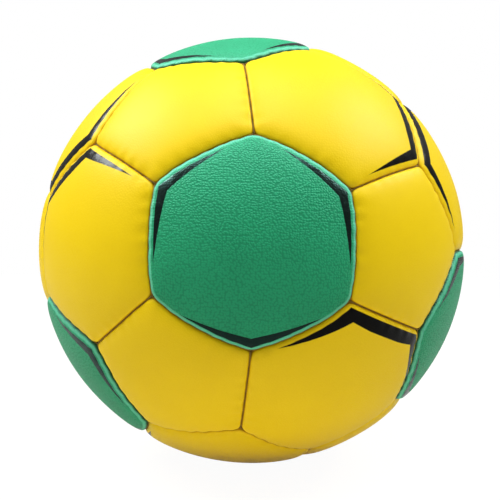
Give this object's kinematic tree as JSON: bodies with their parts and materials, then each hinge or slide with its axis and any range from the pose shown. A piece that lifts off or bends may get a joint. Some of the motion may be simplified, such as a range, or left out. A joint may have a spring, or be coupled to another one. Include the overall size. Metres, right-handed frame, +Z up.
{
  "type": "handball",
  "caption": "Hand-sewn sports ball of padded pentagon and hexagon leather panels over an air bladder, with an inflation valve.",
  "frame": {"origin": "centre of the ball", "axes": "-Y out through the middle of the front green hexagon, +Y out through the valve, +Z up through a corner of the front hexagon"},
  "size_m": [0.175, 0.1749, 0.175],
  "materials": {
    "green_leather": "pebbled coated leather",
    "yellow_leather": "smooth coated leather",
    "foam": "closed-cell foam",
    "lining_cloth": "woven cotton and polyester",
    "waxed_thread": "waxed polyester thread",
    "bladder_rubber": "butyl rubber",
    "valve_rubber": "soft rubber"
  },
  "bodies": {
    "root": {"green_hexagon_1": "green_leather", "green_hexagon_2": "green_leather", "green_hexagon_3": "green_leather", "green_hexagon_4": "green_leather", "green_hexagon_5": "green_leather", "green_hexagon_6": "green_leather", "green_hexagon_7": "green_leather", "valve_panel": "green_leather", "yellow_hexagon_1": "yellow_leather", "yellow_hexagon_2": "yellow_leather", "yellow_hexagon_3": "yellow_leather", "yellow_hexagon_4": "yellow_leather", "yellow_hexagon_5": "yellow_leather", "yellow_hexagon_6": "yellow_leather", "yellow_hexagon_7": "yellow_leather", "yellow_hexagon_8": "yellow_leather", "yellow_hexagon_9": "yellow_leather", "yellow_hexagon_10": "yellow_leather", "yellow_hexagon_11": "yellow_leather", "yellow_hexagon_12": "yellow_leather", "yellow_pentagon_1": "yellow_leather", "yellow_pentagon_2": "yellow_leather", "yellow_pentagon_3": "yellow_leather", "yellow_pentagon_4": "yellow_leather", "yellow_pentagon_5": "yellow_leather", "yellow_pentagon_6": "yellow_leather", "yellow_pentagon_7": "yellow_leather", "yellow_pentagon_8": "yellow_leather", "yellow_pentagon_9": "yellow_leather", "yellow_pentagon_10": "yellow_leather", "yellow_pentagon_11": "yellow_leather", "yellow_pentagon_12": "yellow_leather", "hexagon_foam_pads": "foam", "pentagon_foam_pads": "foam", "hexagon_linings": "lining_cloth", "pentagon_linings": "lining_cloth", "hexagon_seam_threads": "waxed_thread", "pentagon_seam_threads": "waxed_thread", "bladder": "bladder_rubber", "valve_boot": "bladder_rubber", "valve_plug": "valve_rubber"}
  },
  "joints": []
}
